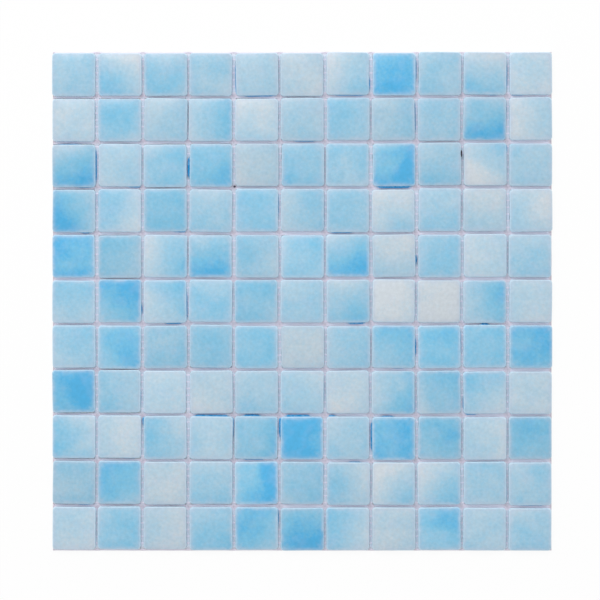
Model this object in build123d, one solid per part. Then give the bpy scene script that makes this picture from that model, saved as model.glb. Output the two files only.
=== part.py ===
from build123d import *
import os
from math import atan2, cos, degrees, pi, sin

# A sheet of glass mosaic for lining pools. Square chips of pressed, fire-polished glass stand in
# a regular grid, face up, with open joints for grout between them. Their backs are glued to a
# laid mesh of flat glass-fibre strands: the warp runs along Y at the bottom, the weft lies across
# it along X, and the chips stand on the weft. The mesh is trimmed flush with the outer chips.
# The origin is at the middle of the sheet's underside, with +Z towards the faces of the chips.

# Driving dimensions in millimetres, angles in degrees
CHIP_SIZE = 25.4  # across the foot of a chip, one inch
CHIP_THICKNESS = 4.0
CHIP_CORNER_RADIUS = 2.0  # the upright corners, at the foot
CHIP_EDGE_RADIUS = 1.2  # the melted round from the sides to the face
CHIP_DRAFT = 3.0  # how far the sides lean in, so that a chip leaves its mould
ROUND_FACETS = 2  # flats that stand for a quarter round, on corners and edges alike

JOINT_WIDTH = 1.8  # between the feet of neighbouring chips
COLUMNS = 11
ROWS = 11

STRAND_WIDTH = 1.0
STRAND_THICKNESS = 0.2
STRAND_PITCH = 4.0  # evened out over the sheet, so that the outer strands lie flush

# Worked out from the driving dimensions
CHIP_PITCH = CHIP_SIZE + JOINT_WIDTH
SHEET_WIDTH = COLUMNS * CHIP_PITCH - JOINT_WIDTH
SHEET_LENGTH = ROWS * CHIP_PITCH - JOINT_WIDTH
WEFT_BASE = STRAND_THICKNESS
CHIP_BASE = WEFT_BASE + STRAND_THICKNESS


def foot_outline():
    """The foot of a chip seen from above: a square with facetted round corners."""
    reach = CHIP_SIZE / 2 - CHIP_CORNER_RADIUS
    points = []
    for quarter, (side_x, side_y) in enumerate(((1, 1), (-1, 1), (-1, -1), (1, -1))):
        for step in range(ROUND_FACETS + 1):
            angle = (quarter + step / ROUND_FACETS) * pi / 2
            x = side_x * reach + CHIP_CORNER_RADIUS * cos(angle)
            y = side_y * reach + CHIP_CORNER_RADIUS * sin(angle)
            points.append((x, y))
    return make_face(Polyline(*points, close=True))


def glass_chip():
    """One chip standing on z = 0: drafted sides, then a facetted round up to the flat face."""
    chip = extrude(foot_outline(), CHIP_THICKNESS - CHIP_EDGE_RADIUS, taper=CHIP_DRAFT)
    for step in range(ROUND_FACETS):
        low = step / ROUND_FACETS * pi / 2
        high = (step + 1) / ROUND_FACETS * pi / 2
        rise = CHIP_EDGE_RADIUS * (sin(high) - sin(low))
        run = CHIP_EDGE_RADIUS * (cos(low) - cos(high))
        shoulder = chip.faces().sort_by(Axis.Z)[-1]
        chip += extrude(shoulder, rise, taper=degrees(atan2(run, rise)))
    return chip.solid()


def centred(count, pitch):
    """Places of count like things in a line, evenly spaced about zero."""
    return [(index - (count - 1) / 2) * pitch for index in range(count)]


def strand_places(span):
    """Strand centres across a span: the outer two flush with its ends, and one in its middle."""
    reach = span - STRAND_WIDTH
    spaces = 2 * round(reach / STRAND_PITCH / 2)
    return centred(spaces + 1, reach / spaces)


def tile_rows(chip):
    """Each row of chips by node name, counted from the far side, +Y, towards the near side."""
    rows = {}
    for number, y in enumerate(reversed(centred(ROWS, CHIP_PITCH)), start=1):
        places = [(x, y, CHIP_BASE) for x in centred(COLUMNS, CHIP_PITCH)]
        rows[f"tile_row_{number:02d}"] = [chip.moved(Location(place)) for place in places]
    return rows


def mesh_layers():
    """The two layers of the backing mesh by node name, the weft laid flat on the warp."""
    warp = Box(STRAND_WIDTH, SHEET_LENGTH, STRAND_THICKNESS).solid()
    weft = Box(SHEET_WIDTH, STRAND_WIDTH, STRAND_THICKNESS).solid()
    warp_height = STRAND_THICKNESS / 2
    weft_height = WEFT_BASE + STRAND_THICKNESS / 2
    warp_places = [(x, 0, warp_height) for x in strand_places(SHEET_WIDTH)]
    weft_places = [(0, y, weft_height) for y in strand_places(SHEET_LENGTH)]
    return {
        "mesh_warp": [warp.moved(Location(place)) for place in warp_places],
        "mesh_weft": [weft.moved(Location(place)) for place in weft_places],
    }


nodes = {**tile_rows(glass_chip()), **mesh_layers()}
os.makedirs("parts", exist_ok=True)
for name, solids in nodes.items():
    export_step(Compound(children=solids), f"parts/{name}.step")
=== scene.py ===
import math

import bpy
import numpy as np
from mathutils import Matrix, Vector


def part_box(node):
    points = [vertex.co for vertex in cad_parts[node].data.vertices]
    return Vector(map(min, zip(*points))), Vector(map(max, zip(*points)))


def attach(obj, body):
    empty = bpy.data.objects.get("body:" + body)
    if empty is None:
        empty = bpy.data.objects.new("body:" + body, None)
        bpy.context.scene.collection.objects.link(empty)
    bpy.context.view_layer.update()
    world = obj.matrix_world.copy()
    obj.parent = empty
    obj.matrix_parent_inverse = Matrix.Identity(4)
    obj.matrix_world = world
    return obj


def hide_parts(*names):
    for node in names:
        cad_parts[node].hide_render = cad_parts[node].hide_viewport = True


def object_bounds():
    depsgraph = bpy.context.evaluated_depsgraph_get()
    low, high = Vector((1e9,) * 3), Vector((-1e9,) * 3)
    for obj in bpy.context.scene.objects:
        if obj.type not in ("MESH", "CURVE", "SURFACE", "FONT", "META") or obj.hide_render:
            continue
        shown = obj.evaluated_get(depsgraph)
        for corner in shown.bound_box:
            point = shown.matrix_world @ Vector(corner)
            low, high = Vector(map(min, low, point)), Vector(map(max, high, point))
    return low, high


# A sheet of frosted pale-blue glass mosaic, seen from straight above on a white floor. Every row
# of chips and every layer of the backing mesh is a detailed piece in place of its plain solid.
# A chip is named by its row and column, counted from the far left corner of the sheet.

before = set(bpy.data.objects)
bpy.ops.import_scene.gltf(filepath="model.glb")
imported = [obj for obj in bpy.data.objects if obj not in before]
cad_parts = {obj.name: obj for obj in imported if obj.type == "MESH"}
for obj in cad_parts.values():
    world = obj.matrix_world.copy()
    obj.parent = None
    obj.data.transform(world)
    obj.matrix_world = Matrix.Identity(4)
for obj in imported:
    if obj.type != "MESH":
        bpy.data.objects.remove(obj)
cad_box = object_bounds()

MM = 0.001
ALONG_X, ALONG_Y = 0, 1
ROW_NODES = sorted(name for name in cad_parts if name.startswith("tile_row_"))
COLUMNS = len(ROW_NODES)  # the sheet is as many chips wide as it has rows
random = np.random.default_rng(25)
shades = np.random.default_rng(7)  # only for how light each chip is

# Form of a melted chip, all over the same foot and height as its solid
CORNER_STEPS = 6
SIDE_STEPS = 9
MELT_STEPS = 6
FOOT_CORNER = 1.8 * MM
FACE_CORNER = 2.0 * MM
FOOT_ROUND = 0.25 * MM
MELT_RADIUS = 0.8 * MM
CROWN = 0.7 * MM  # how far the face sinks to the middle of each edge, twice that at a corner
CROWN_POWER = 3  # how late it sinks on the way there
UNDER_SHARES = (0.45, 0.85)  # rings under the chip, as shares of its half width
SIDE_SHARES = (0.25, 0.5, 0.75)  # rings up the side, as shares of its height
FACE_SHARES = (0.95, 0.89, 0.78, 0.63, 0.47, 0.32, 0.16)  # rings on the face, as shares of its half width
FACE_RIMS = (0.7, 0.2, 0.03, 0.0, 0.0, 0.0, 0.0)  # how much of the pale rim reaches each of these
CORNER_REACH = 0.6  # how much further in it reaches at the corners
UNDER_SIDE_LIGHT = 0.4  # how much of the sides' colour, which is painted light, lies under the chip

# How unlike each other the chips are, as spreads of random draws
PLACE_SPREAD = 0.2 * MM
PLACE_LIMIT = 2 * PLACE_SPREAD
TURN_SPREAD = math.radians(0.4)
TILT_SPREAD = math.radians(0.12)
SIZE_SPREAD = 0.005  # as a share of the size
WOBBLE = 0.05 * MM  # of the outline
OUTLINE_WAVES = (2, 3, 4, 5)  # counts of waves round the outline
WAVE = 0.028 * MM  # of the face
FACE_WAVES = (1.0, 1.7, 2.6)  # counts of waves across the face
WAVE_START = 0.5  # share of the height from which they set in
TEXTURE_REACH = 5.0  # each chip takes its patterns from a place of its own, up to this far off
FAN = 0.027  # the rows spread a little towards +X, for each metre across
CLOSENESS = 0.0044  # the rows lie a little closer than the columns

# Depth of blue of a chip, from 0 for fog white to 1 for the deepest blue. The chips that stand out
# are listed, in five grades, and the others are drawn at random.
ORDINARY_TONES = (0.34, 0.6)
DEEPEST, DEEP, STRONG, PALE, FOG = 1.08, 0.88, 0.67, 0.2, 0.0
STANDOUTS = {
    DEEPEST: [(9, 6)],
    DEEP: [(3, 8), (6, 2), (7, 11), (8, 1), (10, 5), (9, 8), (5, 1), (11, 6), (1, 8)],
    STRONG: [
        (3, 1), (3, 4), (2, 10), (5, 4), (5, 7), (6, 5), (7, 2), (7, 8), (7, 9), (9, 5), (10, 2),
        (11, 5), (11, 9), (9, 11), (4, 1), (9, 9), (7, 10),
    ],
    PALE: [
        (2, 1), (1, 6), (2, 5), (3, 5), (4, 8), (4, 10), (4, 11), (5, 8), (5, 10), (7, 6), (8, 7),
        (9, 10), (3, 10), (8, 3), (8, 4), (9, 2), (10, 3), (10, 8), (11, 8), (8, 11), (11, 1), (11, 3),
        (1, 11), (2, 11), (6, 11),
    ],
    FOG: [(6, 8), (6, 9)],
}

# Which way a clouded chip deepens, as steps to the right and up
DRIFTS = {
    (4, 1): (-1.0, -0.4),
    (4, 2): (-1.0, 0.3),
    (2, 4): (1.0, 0.1),
    (3, 1): (0.6, -0.8),
    (3, 8): (0.7, -0.8),
    (6, 2): (0.2, 1.0),
    (5, 4): (-0.2, -1.0),
    (5, 3): (0.9, -0.2),
    (6, 3): (0.9, 0.5),
    (5, 7): (0.4, -1.0),
    (6, 7): (0.1, -1.0),
    (6, 10): (1.0, 0.2),
    (9, 1): (-0.8, -0.7),
    (10, 9): (0.8, -0.7),
    (10, 8): (0.7, -0.7),
    (10, 5): (1.0, 0.0),
    (11, 7): (-1.0, 0.3),
    (11, 6): (0.7, -0.7),
    (8, 9): (0.9, 0.7),
    (8, 8): (0.8, -0.2),
    (2, 10): (0.2, -1.0),
    (3, 10): (0.8, 0.8),
    (1, 2): (-0.6, -0.7),
    (1, 7): (0.8, -0.4),
}
DRIFT_STRENGTH = 0.3  # change of tone from the middle of a chip to its edge
ORDINARY_DRIFT = 0.08  # spread of the same in the other chips
SHADE_SPREAD = 0.03  # how much lighter or darker the chips are

# Clear dark-blue glass that ran out at the foot, listed one by one: the chip and its side, the middle and
# half length of the run as shares of half that side, and its reach in millimetres
SIDES = {"N": (0, 1), "S": (0, -1), "E": (1, 0), "W": (-1, 0)}
FOOT_RUNS = [
    ((3, 8), "S", 0.0, 0.8, 1.3),
    ((9, 6), "N", -0.2, 0.6, 1.2),
    ((9, 6), "W", 0.5, 0.45, 1.1),
    ((9, 5), "N", -0.2, 0.45, 1.1),
    ((9, 4), "N", 0.0, 0.8, 1.0),
    ((9, 4), "E", 0.5, 0.5, 0.5),
    ((9, 5), "S", -0.1, 0.5, 0.6),
    ((9, 8), "W", 0.1, 0.65, 1.0),
    ((9, 8), "N", -0.3, 0.25, 0.7),
    ((9, 7), "N", -0.7, 0.2, 0.8),
    ((10, 7), "N", 0.3, 0.35, 0.55),
    ((3, 1), "N", -0.2, 0.5, 0.6),
    ((3, 1), "E", 0.0, 0.75, 0.75),
    ((3, 4), "W", -0.1, 0.5, 1.5),
    ((3, 2), "S", 0.7, 0.25, 0.6),
    ((4, 1), "S", 0.5, 0.2, 0.7),
    ((4, 3), "S", 0.7, 0.25, 0.6),
    ((1, 5), "W", -0.2, 0.7, 0.6),
    ((1, 5), "S", 0.1, 0.75, 0.6),
    ((1, 7), "S", 0.1, 0.7, 0.5),
    ((1, 7), "E", -0.5, 0.3, 0.7),
    ((1, 8), "E", 0.2, 0.5, 0.6),
    ((1, 10), "E", -0.1, 0.6, 0.6),
    ((2, 6), "S", 0.1, 0.5, 0.5),
    ((2, 8), "E", 0.1, 0.7, 0.6),
    ((4, 7), "S", -0.3, 0.5, 0.6),
    ((6, 7), "S", 0.35, 0.4, 1.0),
    ((5, 8), "E", -0.2, 0.25, 1.1),
    ((7, 8), "E", 0.0, 0.45, 0.8),
    ((7, 10), "N", 0.0, 0.22, 1.2),
    ((6, 3), "E", -0.2, 0.6, 0.55),
    ((6, 3), "S", 0.4, 0.4, 0.7),
    ((6, 2), "E", -0.35, 0.2, 0.7),
    ((9, 3), "W", 0.8, 0.18, 0.8),
    ((8, 10), "S", -0.65, 0.3, 0.6),
    ((8, 10), "W", -0.5, 0.35, 0.5),
    ((1, 10), "S", 0.3, 0.2, 0.4),
    ((1, 11), "S", -0.6, 0.3, 0.4),
    ((2, 10), "E", 0.4, 0.45, 0.35),
    ((3, 10), "E", 0.7, 0.2, 0.5),
    ((3, 1), "S", 0.5, 0.35, 0.4),
    ((4, 2), "W", 0.45, 0.3, 0.4),
    ((4, 5), "E", 0.2, 0.5, 0.5),
    ((4, 6), "E", -0.15, 0.7, 0.3),
    ((7, 4), "S", 0.0, 0.75, 0.3),
    ((7, 8), "S", 0.25, 0.25, 0.4),
    ((7, 9), "E", 0.25, 0.5, 0.45),
    ((8, 2), "E", -0.3, 0.35, 0.3),
    ((8, 6), "E", 0.0, 0.4, 0.3),
    ((8, 8), "E", -0.6, 0.35, 0.4),
    ((9, 2), "S", 0.4, 0.3, 0.35),
    ((10, 1), "S", 0.5, 0.35, 0.5),
    ((10, 6), "E", 0.6, 0.3, 0.35),
    ((10, 10), "E", -0.55, 0.35, 0.35),
    ((10, 11), "S", 0.05, 0.6, 0.4),
    ((11, 5), "E", 0.5, 0.4, 0.6),
]
RUN_BLUNTNESS = 12  # how suddenly a run ends along its side, an even number
RUN_CORNERING = 3  # how fast it fades round a corner
RUN_LOW = 1.1 * MM  # full reach up to here
RUN_TOP = 2.2 * MM  # and none from here
RUN_END = 2.6 * MM  # where its colour ends
RUN_CLEAR = 0.8 * MM  # the reach from which it is clear blue

# Colours on screen, as red, green and blue from 0 to 255
FOG_COLOURS = {  # by depth of blue
    0.0: (203, 212, 219),
    0.25: (175, 204, 221),
    0.5: (145, 195, 221),
    0.72: (117, 188, 221),
    1.0: (68, 172, 222),
}
MILK_COLOUR = (188, 199, 229)
RIM_COLOUR = (182, 197, 218)
# the sides are painted paler than the glass: painted light that comes through the chips and throws blue
# into the joints
SIDE_LIGHT_COLOUR = (217, 241, 253)
RUN_COLOUR = (14, 154, 216)
WARP_GLUE_AND_LIGHT = ((226, 224, 236), (216, 231, 244))  # two colours in soft patches, the bluish one painted light from the glass
# lighter than the other layer: painted light in the crosswise joints, which lie in shade
WEFT_GLUE_AND_LIGHT = ((251, 236, 247), (240, 239, 254))
# the mesh's pink where the joints cross, darkened as painted shade
CROSSING_PINK_AND_SHADE = (194, 179, 194)
FIBRE_COLOUR = (208, 214, 230)
DIRT_COLOURS = ((14, 16, 26), (58, 48, 66))

# Patterns, as settings of a noise whose scale is in cells to the metre
CLOUDS = {"scale": 46.0, "detail": 1.5, "distortion": 0.4}
MOTTLE = {"scale": 190.0, "detail": 2.0}
SPECKLE = {"scale": 560.0, "detail": 3.0}
GRAIN = {"scale": 2300.0, "detail": 1.0}
MILK = {"scale": 130.0, "detail": 1.0}
RIM_PATCHES = {"scale": 240.0, "detail": 1.0}
RUN_PATCHES = {"scale": 700.0, "detail": 2.0}
FROST = {"scale": 480.0, "detail": 2.0}
PEEL = {"scale": 620.0, "detail": 2.0}
GLUE_PATCHES = {"scale": 90.0, "detail": 2.0}
LUMPS = {"scale": 1500.0, "detail": 3.0}
FIBRES = {"scale": 1.0, "detail": 2.0}  # on a place that is stretched along the strand
FIBRE_CELLS_ACROSS = 7000.0
FIBRE_CELLS_ALONG = 350.0

# How strongly the patterns show, each as the whole swing of the value that it moves
CLOUD_SWING = 0.38
CLOUD_GROWTH = 0.5  # how much wider the clouds swing from fog white to the deepest blue
MOTTLE_SWING = 0.14
SPECKLE_SWING = 0.3
GRAIN_SWING = 0.1
MILK_SWING = 1.6
RIM_SWING = 0.9
RUN_SWING = 1.0
FROST_SWING = 0.24
ROUGHNESS_SWING = 0.2

# How much of each colour is laid over those before it, at most or in the middle of its swing
MILK_SHARE = 0.3
RIM_SHARE = 0.42
# the sides' pale colour is painted light through the glass
SIDE_LIGHT_SHARE = 0.9
RUN_SHARE = 0.9
FIBRE_SHARE = 0.3

# Gloss, and fine relief as strength and depth
GLASS_ROUGHNESS = 0.34
GLASS_SPECULAR = 0.6
GLASS_RELIEF = (0.5, 0.03 * MM)
PEEL_SHARE = 1.6  # of the glass's relief, beside 1 for the grain
FIBRE_ROUGHNESS = 0.55
FIBRE_SPECULAR = 0.3
FIBRE_RELIEF = (0.6, 0.03 * MM)
DIRT_ROUGHNESS = 0.8
DIRT_RELIEF = (0.8, 0.1 * MM)

# Strands of the mesh and the glue that fills it along the joints
RIBBON_STEPS = 108
RIBBON_SIDES = 8
RIBBON_FLATNESS = 0.55  # 1 for an oval section, towards 0 for a box
STRAND_FULLNESS = 0.95  # as a share of the solid's thickness
STRAND_SWAY = 0.05 * MM
STRAND_SWELL = 0.05  # as a share of the width
STRAND_HEAVE = 0.012 * MM
SWAY_WAVES = (60.0, 140.0)  # in radians to the metre, and so are the next two
HEAVE_WAVES = 780.0
SWELL_WAVES = (210.0, 520.0)
END_HOLD = 0.3  # how soon the sway sets in from the ends of a strand
FILM_WIDTH = 2.9 * MM
FILM_SWELL = 0.1  # as a share of the width
FILM_LEVEL = 0.29 * MM
FILM_THICKNESS = 0.14 * MM
CROSSING_REACH = 0.11  # as a share of the pitch

# Two specks of dirt in the joints: place in the sheet and size, in millimetres
GRIT = {
    "grit_crossing": ((-40.3, 68.5, 0.75), (1.6, 1.1, 0.9)),
    "grit_joint": ((94.8, 88.0, 3.2), (1.0, 4.0, 1.1)),
}
GRIT_TURNS = 14
GRIT_CLIMBS = 7
GRIT_UNEVENNESS = 0.09

# Camera, straight above, and the place of the sheet in the picture
LENS = 150.0  # in millimetres, as the sensor's width is
SENSOR = 36.0
FIELD = 357.0 * MM  # the width that the picture shows at the faces of the chips
SHEET_OFFSET = (1.33 * MM, -0.75 * MM)

# Light and floor
WHITE = (1.0, 1.0, 1.0, 1.0)
SKY_LEVEL = 0.8
SKY_LEAN = (-0.1, 0.4, 0.0)  # how much stronger it is from the left and from the far side
KEY_POWER = 5.6
KEY_SIZE = 0.56
KEY_PLACE = (-0.28, 0.88, 1.2)
FLOOR_SIZE = 8.0
FLOOR_DROP = 0.02 * MM  # below the sheet's underside
FLOOR_COLOUR = (0.95, 0.95, 0.95, 1.0)
FLOOR_ROUGHNESS = 0.9
FLOOR_GLOW = 0.9  # how much of the floor seen around the sheet is plain white
EDGE_MARGIN = 1.0 * MM  # how far in under the sheet's edge that white starts


def joint_pitch():
    """The distance from one chip to the next."""
    low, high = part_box(ROW_NODES[0])
    return (high.x - low.x - (high.y - low.y)) / (COLUMNS - 1)


def linear(colour):
    """A colour given as 0 to 255 on screen, by the sRGB curve, as the linear one that a shader takes."""
    channels = []
    for value in colour:
        share = value / 255
        channels.append(share / 12.92 if share <= 0.04045 else ((share + 0.055) / 1.055) ** 2.4)
    return (*channels, 1.0)


# Shader nodes


def add_node(tree, kind, inputs=None, **settings):
    """Adds a node. Each input is a constant or the socket that feeds it."""
    made = tree.nodes.new(kind)
    for name, value in settings.items():
        setattr(made, name, value)
    for key, value in (inputs or {}).items():
        if isinstance(value, bpy.types.NodeSocket):
            tree.links.new(value, made.inputs[key])
        else:
            made.inputs[key].default_value = value
    return made


def maths(tree, operation, first, second):
    return add_node(tree, "ShaderNodeMath", {0: first, 1: second}, operation=operation).outputs[0]


def mix_colours(tree, factor, first, second):
    """The colour sockets of a mix node are numbers 6 and 7 going in and number 2 coming out."""
    inputs = {0: factor, 6: first, 7: second}
    return add_node(tree, "ShaderNodeMix", inputs, data_type="RGBA").outputs[2]


def attribute(tree, name, output="Fac"):
    return add_node(tree, "ShaderNodeAttribute", attribute_name=name).outputs[output]


def object_place(tree):
    return add_node(tree, "ShaderNodeTexCoord").outputs["Object"]


def noise(tree, place, scale, detail, distortion=0.0):
    inputs = {"Vector": place, "Scale": scale, "Detail": detail, "Distortion": distortion}
    return add_node(tree, "ShaderNodeTexNoise", inputs).outputs["Fac"]


def swing(tree, value, strength):
    """A noise from 0 to 1 as a change up or down of at most half that strength."""
    return maths(tree, "MULTIPLY", maths(tree, "SUBTRACT", value, 0.5), strength)


def varied(tree, value, strength, middle):
    """A noise from 0 to 1 as a value that swings about a middle."""
    return maths(tree, "ADD", swing(tree, value, strength), middle)


def colour_ramp(tree, factor, stops):
    ramp = add_node(tree, "ShaderNodeValToRGB", {0: factor})
    while len(ramp.color_ramp.elements) < len(stops):
        ramp.color_ramp.elements.new(1.0)
    for element, (place, colour) in zip(ramp.color_ramp.elements, stops.items()):
        element.position = place
        element.color = linear(colour)
    return ramp.outputs["Color"]


def new_material(name):
    material = bpy.data.materials.new(name)
    material.use_nodes = True
    return material, material.node_tree, material.node_tree.nodes["Principled BSDF"]


def dress(tree, shader, colour, height, relief):
    """Gives a shader its colour and its fine relief."""
    strength, depth = relief
    bump = add_node(tree, "ShaderNodeBump", {"Strength": strength, "Distance": depth, "Height": height})
    tree.links.new(colour, shader.inputs["Base Color"])
    tree.links.new(bump.outputs["Normal"], shader.inputs["Normal"])


# Materials


def blue_depth(tree, place, mottle, grain):
    """How deep the blue is: the tone of the chip with clouds and finer patterns about it."""
    depth = attribute(tree, "tone")
    clouding = maths(tree, "ADD", maths(tree, "MULTIPLY", depth, CLOUD_GROWTH), CLOUD_SWING)
    layers = (
        (noise(tree, place, **CLOUDS), clouding),
        (mottle, MOTTLE_SWING),
        (noise(tree, place, **SPECKLE), SPECKLE_SWING),
        (grain, GRAIN_SWING),
    )
    for layer, strength in layers:
        depth = maths(tree, "ADD", depth, swing(tree, layer, strength))
    return depth


def glass_colour(tree, place, depth):
    """Fog with milky patches, then the melted rim, the sides' painted light and the clear runs laid over
    it.
    """
    fog = colour_ramp(tree, depth, FOG_COLOURS)
    milk = maths(tree, "MAXIMUM", swing(tree, noise(tree, place, **MILK), MILK_SWING), 0.0)
    milky = mix_colours(tree, maths(tree, "MULTIPLY", milk, MILK_SHARE), fog, linear(MILK_COLOUR))
    patchy = varied(tree, noise(tree, place, **RIM_PATCHES), RIM_SWING, RIM_SHARE)
    rim = maths(tree, "MULTIPLY", attribute(tree, "rim"), patchy)
    rimmed = mix_colours(tree, rim, milky, linear(RIM_COLOUR))
    # painted light: the sides are made pale, as if lit through the glass
    side = maths(tree, "MULTIPLY", attribute(tree, "side"), SIDE_LIGHT_SHARE)
    side_lit = mix_colours(tree, side, rimmed, linear(SIDE_LIGHT_COLOUR))
    broken = varied(tree, noise(tree, place, **RUN_PATCHES), RUN_SWING, RUN_SHARE)
    run = maths(tree, "MULTIPLY", attribute(tree, "run"), maths(tree, "MINIMUM", broken, 1.0))
    return mix_colours(tree, run, side_lit, linear(RUN_COLOUR))


def fog_glass():
    """Frosted glass: fog white to blue in soft clouds, a pale melted rim, sides made pale as painted
    light through the glass, and a clear dark foot.
    """
    material, tree, shader = new_material("fog_glass")
    place = attribute(tree, "place", "Vector")
    mottle = noise(tree, place, **MOTTLE)
    grain = noise(tree, place, **GRAIN)
    clear = glass_colour(tree, place, blue_depth(tree, place, mottle, grain))
    frost = varied(tree, noise(tree, place, **FROST), FROST_SWING, attribute(tree, "shade"))
    frosted = add_node(tree, "ShaderNodeVectorMath", {0: clear, 1: frost}, operation="MULTIPLY")
    peel = maths(tree, "MULTIPLY", noise(tree, place, **PEEL), PEEL_SHARE)
    dress(tree, shader, frosted.outputs[0], maths(tree, "ADD", peel, grain), GLASS_RELIEF)
    roughness = varied(tree, mottle, ROUGHNESS_SWING, GLASS_ROUGHNESS)
    tree.links.new(roughness, shader.inputs["Roughness"])
    shader.inputs["Specular IOR Level"].default_value = GLASS_SPECULAR
    return material


def near_crossing(tree, place):
    """1 where two joints cross, falling to 0 along each of them."""
    axes = add_node(tree, "ShaderNodeSeparateXYZ", {0: place}).outputs
    shares = []
    for axis in (axes["X"], axes["Y"]):
        steps = maths(tree, "FRACT", maths(tree, "DIVIDE", axis, joint_pitch()), 0.0)
        distance = maths(tree, "ABSOLUTE", maths(tree, "SUBTRACT", steps, 0.5), 0.0)
        share = maths(tree, "SUBTRACT", 1.0, maths(tree, "DIVIDE", distance, CROSSING_REACH))
        shares.append(maths(tree, "MAXIMUM", share, 0.0))
    return maths(tree, "MULTIPLY", *shares)


def strand_fibre(name, along, glue_and_light):
    """Coated glass fibre and glue with fine fibres: lighter and bluish along the joints as painted light
    from the glass, pink where they cross and darkened there as painted shade.
    """
    material, tree, shader = new_material(name)
    place = object_place(tree)
    stretch = [FIBRE_CELLS_ACROSS] * 3
    stretch[along] = FIBRE_CELLS_ALONG
    mapped = add_node(tree, "ShaderNodeMapping", {"Vector": place, "Scale": stretch}).outputs[0]
    fibres = noise(tree, mapped, **FIBRES)
    patches = noise(tree, place, **GLUE_PATCHES)
    # the glue's colour along the joints, with painted light in it
    joint = mix_colours(tree, patches, linear(glue_and_light[0]), linear(glue_and_light[1]))
    # pink at the crossings, darkened as painted shade
    crossing = mix_colours(tree, near_crossing(tree, place), joint, linear(CROSSING_PINK_AND_SHADE))
    bare = maths(tree, "MULTIPLY", fibres, FIBRE_SHARE)
    colour = mix_colours(tree, bare, crossing, linear(FIBRE_COLOUR))
    dress(tree, shader, colour, fibres, FIBRE_RELIEF)
    shader.inputs["Roughness"].default_value = FIBRE_ROUGHNESS
    shader.inputs["Specular IOR Level"].default_value = FIBRE_SPECULAR
    return material


def dirt():
    """Blue-black grit."""
    material, tree, shader = new_material("dirt")
    lumps = noise(tree, object_place(tree), **LUMPS)
    colour = mix_colours(tree, lumps, linear(DIRT_COLOURS[0]), linear(DIRT_COLOURS[1]))
    dress(tree, shader, colour, lumps, DIRT_RELIEF)
    shader.inputs["Roughness"].default_value = DIRT_ROUGHNESS
    return material


# Meshes


def make_piece(name, points, faces, material, looks=None):
    """A smooth mesh object, with numbers or vectors on its points for the material to read."""
    mesh = bpy.data.meshes.new(name)
    mesh.from_pydata(points.tolist(), [], faces)
    mesh.shade_smooth()
    for key, numbers in (looks or {}).items():
        kind, field = ("FLOAT", "value") if numbers.ndim == 1 else ("FLOAT_VECTOR", "vector")
        layer = mesh.attributes.new(key, kind, "POINT")
        layer.data.foreach_set(field, numbers.astype(np.float32).ravel())
    mesh.materials.append(material)
    piece = bpy.data.objects.new(name, mesh)
    bpy.context.scene.collection.objects.link(piece)
    return piece


def smooth_step(start, stop, value):
    """0 at the start and 1 at the stop, which may lie either way, with an easy slope between them."""
    share = np.clip((value - start) / (stop - start), 0, 1)
    return share * share * (3 - 2 * share)


def rounded_square(half, radius):
    """Points of a square with round corners, anticlockwise, always as many and in one order."""
    reach = half - radius
    points = []
    for quarter in range(4):
        turn = quarter * math.pi / 2
        corner = np.array([math.cos(turn) - math.sin(turn), math.sin(turn) + math.cos(turn)]) * reach
        for step in range(CORNER_STEPS + 1):
            angle = turn + step / CORNER_STEPS * math.pi / 2
            points.append(corner + radius * np.array([math.cos(angle), math.sin(angle)]))
        start = points[-1]
        side = np.array([-math.cos(turn), -math.sin(turn)])
        for step in range(1, SIDE_STEPS):
            points.append(start + side * 2 * reach * step / SIDE_STEPS)
    return np.array(points)


def outward_normals():
    """Outward directions at the points of a rounded square."""
    normals = []
    for quarter in range(4):
        turn = quarter * math.pi / 2
        angles = [turn + step / CORNER_STEPS * math.pi / 2 for step in range(CORNER_STEPS + 1)]
        angles += [turn + math.pi / 2] * (SIDE_STEPS - 1)
        normals += [(math.cos(angle), math.sin(angle)) for angle in angles]
    return np.array(normals)


def chip_rings(half, height):
    """Half width, corner radius, height, crown, rim and painted side light of each ring, from the back to
    the face.
    """
    rings = [(share * half, share * FOOT_CORNER, 0.0, 0.0, 0.0, UNDER_SIDE_LIGHT) for share in UNDER_SHARES]
    rings.append((half - FOOT_ROUND, FOOT_CORNER, 0.0, 0.0, 0.0, UNDER_SIDE_LIGHT))
    rings.append((half, FOOT_CORNER, FOOT_ROUND, 0.0, 0.0, 1.0))
    melt_base = height - MELT_RADIUS
    for share in SIDE_SHARES:
        level = FOOT_ROUND + share * (melt_base - FOOT_ROUND)
        rings.append((half, FOOT_CORNER, level, share, share, 1.0))
    for step in range(MELT_STEPS + 1):
        share = step / MELT_STEPS
        angle = share * math.pi / 2
        inset = MELT_RADIUS * (1 - math.cos(angle))
        level = melt_base + MELT_RADIUS * math.sin(angle)
        corner = FOOT_CORNER + share * (FACE_CORNER - FOOT_CORNER)
        rings.append((half - inset, corner, level, 1.0, 1.0, 1 - share))
    face = half - MELT_RADIUS
    for share, rim in zip(FACE_SHARES, FACE_RIMS):
        rings.append((share * face, share * FACE_CORNER, height, 1.0, rim, 0.0))
    return rings


def sunk(points, half):
    """How far a melted face has sunk at each point, from nothing in its middle."""
    shares = np.clip(np.abs(points) / (half - MELT_RADIUS), 0, 1)
    return CROWN * (shares ** CROWN_POWER).sum(axis=1)


def ring_faces(rings, count):
    """Quads between neighbouring rings, and fans to a middle point under and on the form."""
    faces = []
    for ring in range(rings - 1):
        for step in range(count):
            low, high = ring * count, (ring + 1) * count
            after = (step + 1) % count
            faces.append((low + step, low + after, high + after, high + step))
    under, top = rings * count, rings * count + 1
    last = (rings - 1) * count
    for step in range(count):
        after = (step + 1) % count
        faces.append((after, step, under))
        faces.append((last + step, last + after, top))
    return faces


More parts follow.
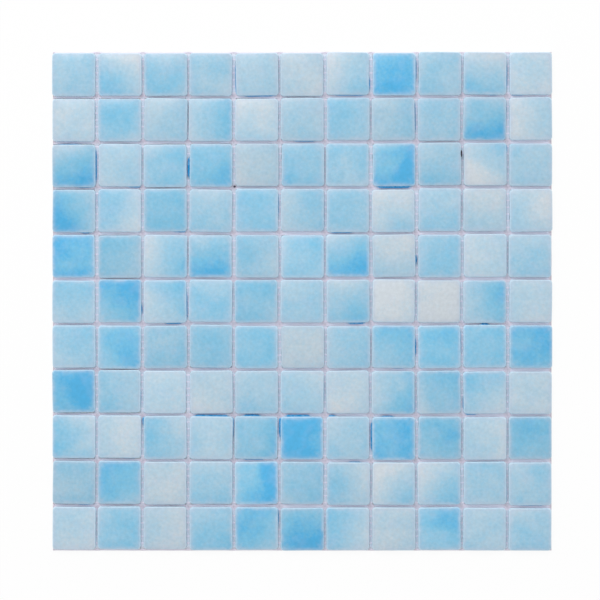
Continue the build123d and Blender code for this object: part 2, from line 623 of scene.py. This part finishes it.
def foot_runs(chip, points, normals, half):
    """How far clear glass has run out at the foot, at each point of a chip's outline."""
    total = np.zeros(len(points))
    for owner, side, middle, half_length, reach in FOOT_RUNS:
        if owner != chip:
            continue
        way = np.array(SIDES[side])
        along = points @ np.abs(way[::-1]) / half
        facing = np.clip(normals @ way, 0, 1) ** RUN_CORNERING
        fullness = np.exp(-((along - middle) / half_length) ** RUN_BLUNTNESS)
        total = np.maximum(total, reach * MM * facing * fullness)
    return total


def chip_tone(chip):
    """A chip's depth of blue. One is drawn for every chip, so that the lists don't shift other draws."""
    drawn = random.uniform(*ORDINARY_TONES)
    for tone, chips in STANDOUTS.items():
        if chip in chips:
            return tone
    return drawn


def chip_drift(chip):
    """The change of tone to the right and up across half a chip."""
    drawn = random.normal(0, ORDINARY_DRIFT, 2)
    if chip in DRIFTS:
        way = np.array(DRIFTS[chip])
        return way / np.linalg.norm(way) * DRIFT_STRENGTH
    return drawn


def outline_wobble(count):
    """How far each point of a chip's outline lies out of true."""
    turn = np.linspace(0, 2 * math.pi, count, endpoint=False)
    wobble = np.zeros(count)
    for wave in OUTLINE_WAVES:
        phase = random.uniform(0, 2 * math.pi)
        wobble += WOBBLE / wave * random.normal() * np.cos(wave * turn + phase)
    return wobble


def chip_layers(chip, half, height):
    """Points of a chip, ring by ring, and how much rim, painted side light and clear run there is at each
    of them.
    """
    normals = outward_normals()
    wobble = outline_wobble(len(normals))
    stretch = 1 + random.normal(0, SIZE_SPREAD, 2)
    reach = foot_runs(chip, rounded_square(half, FOOT_CORNER), normals, half)
    corners = 2 * np.abs(normals[:, 0] * normals[:, 1])
    layers, rims, side_lights, runs = [], [], [], []
    for width, corner, level, crown, rim, side in chip_rings(half, height):
        outline = rounded_square(width, corner)
        levels = level - crown * sunk(outline, half)
        flat = outline * stretch
        share = width / half
        outer = share > UNDER_SHARES[-1]
        bulge = reach * smooth_step(RUN_TOP, RUN_LOW, levels) * outer
        flat += normals * (wobble * share + bulge)[:, None]
        layers.append(np.column_stack([flat, levels]))
        rims.append(rim ** (1 - CORNER_REACH * corners))
        side_lights.append(np.full(len(flat), side))
        runs.append(np.clip(reach / RUN_CLEAR, 0, 1) * smooth_step(RUN_END, RUN_TOP, levels) * outer)
    middles = np.array([[0, 0, 0], [0, 0, height]])
    return np.concatenate(layers + [middles]), {
        "rim": np.concatenate(rims + [np.zeros(2)]),
        # side: painted light through the glass, on the sides and partly under the chip
        "side": np.concatenate(side_lights + [np.array([UNDER_SIDE_LIGHT, 0])]),
        "run": np.concatenate(runs + [np.zeros(2)]),
    }


def wave_face(points, half, height):
    """Sinks the upper part of a chip by a few shallow waves across its face."""
    for wave in FACE_WAVES:
        way = random.normal(size=2)
        way /= np.linalg.norm(way)
        phase = random.uniform(0, 2 * math.pi)
        raised = np.sin(points[:, :2] @ way * wave * math.pi / half + phase) - 1
        points[:, 2] += WAVE / wave * raised * smooth_step(WAVE_START * height, height, points[:, 2])


def melted_chip(chip, half, height):
    """Points of one chip about the middle of its back, and what the glass is like at each of them."""
    points, layers = chip_layers(chip, half, height)
    wave_face(points, half, height)
    return points, {
        "tone": chip_tone(chip) + points[:, :2] @ chip_drift(chip) / half,
        **layers,
        "shade": np.full(len(points), shades.normal(1.0, SHADE_SPREAD)),
        "place": points + random.uniform(-TEXTURE_REACH, TEXTURE_REACH, 3),
    }


def laid(points, middle):
    """Points of a chip as laid by hand: a little turned, tilted and out of line."""
    turn = random.normal(0, TURN_SPREAD)
    turned = points.copy()
    turned[:, 0] = points[:, 0] * math.cos(turn) - points[:, 1] * math.sin(turn)
    turned[:, 1] = points[:, 0] * math.sin(turn) + points[:, 1] * math.cos(turn)
    turned[:, 2] += turned[:, :2] @ random.normal(0, TILT_SPREAD, 2)
    shift = np.clip(random.normal(0, PLACE_SPREAD, 2), -PLACE_LIMIT, PLACE_LIMIT)
    shift[1] += (FAN * middle[0] - CLOSENESS) * middle[1]
    return turned + middle + np.array([*shift, 0])


def build_row(node, row, material):
    """The chips of one row, joined into one piece that stands for the row's solids."""
    low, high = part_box(node)
    size = high.y - low.y
    count = len(outward_normals())
    groups, chip_looks, faces = [], [], []
    for column in range(1, COLUMNS + 1):
        points, looks = melted_chip((row, column), size / 2, high.z - low.z)
        middle = np.array([low.x + size / 2 + (column - 1) * joint_pitch(), (low.y + high.y) / 2, low.z])
        start = len(groups) * len(points)
        for face in ring_faces(len(points) // count, count):
            faces.append(tuple(corner + start for corner in face))
        groups.append(laid(points, middle))
        chip_looks.append(looks)
    looks = {key: np.concatenate([chip[key] for chip in chip_looks]) for key in chip_looks[0]}
    piece = make_piece(f"chips_{row:02d}", np.concatenate(groups), faces, material, looks)
    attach(piece, "root")
    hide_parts(node)


def strand_lines(node, across):
    """Centre and width of each strand of a layer, read from the edges of its solids."""
    edges = sorted({round(vertex.co[across], 6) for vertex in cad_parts[node].data.vertices})
    return [((low + high) / 2, high - low) for low, high in zip(edges[::2], edges[1::2])]


def flat_section():
    """A flattened round section, one wide and one thick, anticlockwise."""
    angles = np.linspace(0, 2 * math.pi, RIBBON_SIDES, endpoint=False)
    across = np.sign(np.cos(angles)) * np.abs(np.cos(angles)) ** RIBBON_FLATNESS
    up = np.sign(np.sin(angles)) * np.abs(np.sin(angles)) ** RIBBON_FLATNESS
    return across / 2, up / 2


def ribbon_faces(along):
    """Faces of a ribbon, closed at both ends and turned outwards whichever way it runs."""
    faces = []
    for step in range(RIBBON_STEPS):
        here, there = step * RIBBON_SIDES, (step + 1) * RIBBON_SIDES
        for side in range(RIBBON_SIDES):
            after = (side + 1) % RIBBON_SIDES
            faces.append((here + after, here + side, there + side, there + after))
    faces.append(tuple(range(RIBBON_SIDES)))
    faces.append(tuple(RIBBON_STEPS * RIBBON_SIDES + side for side in reversed(range(RIBBON_SIDES))))
    if along == ALONG_X:
        faces = [face[::-1] for face in faces]
    return faces


def ribbon(along, ends, centre, width, level, thickness, swell_share):
    """Points and faces of a flat ribbon that sways and swells a little between its ends."""
    run = np.linspace(*ends, RIBBON_STEPS + 1)
    held = np.sin(np.linspace(0, math.pi, RIBBON_STEPS + 1)) ** END_HOLD
    sway = np.zeros(RIBBON_STEPS + 1)
    for waves in SWAY_WAVES:
        sway += random.normal(0, STRAND_SWAY) * np.sin(run * waves + random.uniform(0, 2 * math.pi))
    heave = STRAND_HEAVE * np.sin(run * HEAVE_WAVES + random.uniform(0, 2 * math.pi))
    swell = np.ones(RIBBON_STEPS + 1)
    for waves in SWELL_WAVES:
        swell += swell_share * np.sin(run * waves + random.uniform(0, 2 * math.pi))
    across, up = flat_section()
    rings = np.zeros((RIBBON_STEPS + 1, RIBBON_SIDES, 3))
    rings[:, :, along] = run[:, None]
    rings[:, :, 1 - along] = centre + (sway * held)[:, None] + width * swell[:, None] * across
    rings[:, :, 2] = level + heave[:, None] + thickness * up
    return rings.reshape(-1, 3), ribbon_faces(along)


def joint_films(along, ends):
    """Dried glue that fills the mesh along the joints: a thin ribbon under each of them."""
    centres = [(joint - COLUMNS / 2) * joint_pitch() for joint in range(1, COLUMNS)]
    return [
        ribbon(along, ends, centre, FILM_WIDTH, FILM_LEVEL, FILM_THICKNESS, FILM_SWELL)
        for centre in centres
    ]


def build_strands(node, along, material):
    """One layer of the mesh, with the glue along the joints that run the same way."""
    low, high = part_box(node)
    ends = (low[along], high[along])
    level, thickness = (low.z + high.z) / 2, (high.z - low.z) * STRAND_FULLNESS
    ribbons = [
        ribbon(along, ends, centre, width, level, thickness, STRAND_SWELL)
        for centre, width in strand_lines(node, 1 - along)
    ]
    ribbons += joint_films(along, ends)
    points, faces, start = [], [], 0
    for group, group_faces in ribbons:
        points.append(group)
        faces += [tuple(corner + start for corner in face) for face in group_faces]
        start += len(group)
    piece = make_piece(node.replace("mesh_", "strands_"), np.concatenate(points), faces, material)
    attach(piece, "root")
    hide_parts(node)


def build_grit(name, place, size, material):
    """A speck of dirt: a small uneven lump."""
    turns = np.linspace(0, 2 * math.pi, GRIT_TURNS, endpoint=False)
    climbs = np.linspace(-math.pi / 2, math.pi / 2, GRIT_CLIMBS + 2)[1:-1]
    points = []
    for climb in climbs:
        for turn in turns:
            radius = 0.5 * (1 + random.normal(0, GRIT_UNEVENNESS))
            flat = radius * math.cos(climb)
            points.append((flat * math.cos(turn), flat * math.sin(turn), radius * math.sin(climb)))
    points += [(0, 0, -0.5), (0, 0, 0.5)]
    points = np.array(points) * (np.array(size) * MM) + np.array(place) * MM
    piece = make_piece(name, points, ring_faces(GRIT_CLIMBS, GRIT_TURNS), material)
    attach(piece, "root")


# Stage, light and camera


def seen_directly(tree):
    """1 for what the camera, a reflection or clear glass shows, 0 for light on its way to a surface."""
    path = add_node(tree, "ShaderNodeLightPath")
    seen = maths(tree, "MAXIMUM", path.outputs["Is Camera Ray"], path.outputs["Is Glossy Ray"])
    return maths(tree, "MAXIMUM", seen, path.outputs["Is Transmission Ray"])


def beyond_sheet(tree):
    """0 under the sheet and 1 around it, so that the joints keep their real shade."""
    axes = add_node(tree, "ShaderNodeSeparateXYZ", {0: object_place(tree)}).outputs
    masks = []
    for axis, reach in ((axes["X"], cad_box[1].x), (axes["Y"], cad_box[1].y)):
        distance = maths(tree, "ABSOLUTE", axis, 0.0)
        masks.append(maths(tree, "GREATER_THAN", distance, reach - EDGE_MARGIN))
    return maths(tree, "MAXIMUM", *masks)


def white_floor():
    """Matte white that keeps the sheet's light and shade under it, and is plain white around it."""
    material, tree, shader = new_material("white_floor")
    shader.inputs["Base Color"].default_value = FLOOR_COLOUR
    shader.inputs["Roughness"].default_value = FLOOR_ROUGHNESS
    shader.inputs["Specular IOR Level"].default_value = 0.0
    glow = add_node(tree, "ShaderNodeEmission", {"Color": WHITE, "Strength": 1.0})
    share = maths(tree, "MULTIPLY", seen_directly(tree), FLOOR_GLOW)
    share = maths(tree, "MULTIPLY", share, beyond_sheet(tree))
    mixed = add_node(tree, "ShaderNodeMixShader", {0: share, 1: shader.outputs[0], 2: glow.outputs[0]})
    tree.links.new(mixed.outputs[0], tree.nodes["Material Output"].inputs["Surface"])
    return material


def make_floor():
    mesh = bpy.data.meshes.new("floor")
    half = FLOOR_SIZE / 2
    corners = [(-half, -half), (half, -half), (half, half), (-half, half)]
    mesh.from_pydata([(x, y, -FLOOR_DROP) for x, y in corners], [], [(0, 1, 2, 3)])
    mesh.materials.append(white_floor())
    floor = bpy.data.objects.new("floor", mesh)
    bpy.context.scene.collection.objects.link(floor)


def make_sky():
    """Soft light from all around, white where the sky itself is seen."""
    world = bpy.data.worlds.new("studio")
    world.use_nodes = True
    tree = world.node_tree
    background = tree.nodes["Background"]
    background.inputs["Color"].default_value = WHITE
    way = add_node(tree, "ShaderNodeTexCoord").outputs["Generated"]
    lean = add_node(tree, "ShaderNodeVectorMath", {0: way, 1: SKY_LEAN}, operation="DOT_PRODUCT")
    level = maths(tree, "MULTIPLY", maths(tree, "ADD", lean.outputs["Value"], 1.0), SKY_LEVEL)
    missing = maths(tree, "MULTIPLY", seen_directly(tree), maths(tree, "SUBTRACT", 1.0, level))
    tree.links.new(maths(tree, "ADD", level, missing), background.inputs["Strength"])
    bpy.context.scene.world = world


def make_key_light():
    """A soft box beyond the sheet's far side, tipped towards the sheet."""
    light = bpy.data.lights.new("key", "AREA")
    light.shape = "SQUARE"
    light.size = KEY_SIZE
    light.energy = KEY_POWER
    lamp = bpy.data.objects.new("key", light)
    lamp.location = KEY_PLACE
    lamp.rotation_euler = lamp.location.to_track_quat("Z", "Y").to_euler()
    bpy.context.scene.collection.objects.link(lamp)


def make_camera():
    lens = bpy.data.cameras.new("camera")
    lens.lens = LENS
    lens.sensor_width = SENSOR
    camera = bpy.data.objects.new("camera", lens)
    distance = FIELD * LENS / SENSOR
    camera.location = (-SHEET_OFFSET[0], -SHEET_OFFSET[1], cad_box[1].z + distance)
    bpy.context.scene.collection.objects.link(camera)
    bpy.context.scene.camera = camera


make_camera()
glass = fog_glass()
for row, node in enumerate(ROW_NODES, start=1):
    build_row(node, row, glass)
build_strands("mesh_warp", ALONG_Y, strand_fibre("warp_fibre", ALONG_Y, WARP_GLUE_AND_LIGHT))
build_strands("mesh_weft", ALONG_X, strand_fibre("weft_fibre", ALONG_X, WEFT_GLUE_AND_LIGHT))
dark = dirt()
for name, (place, size) in GRIT.items():
    build_grit(name, place, size, dark)
make_floor()
make_sky()
make_key_light()
bpy.context.scene.view_settings.view_transform = "Standard"
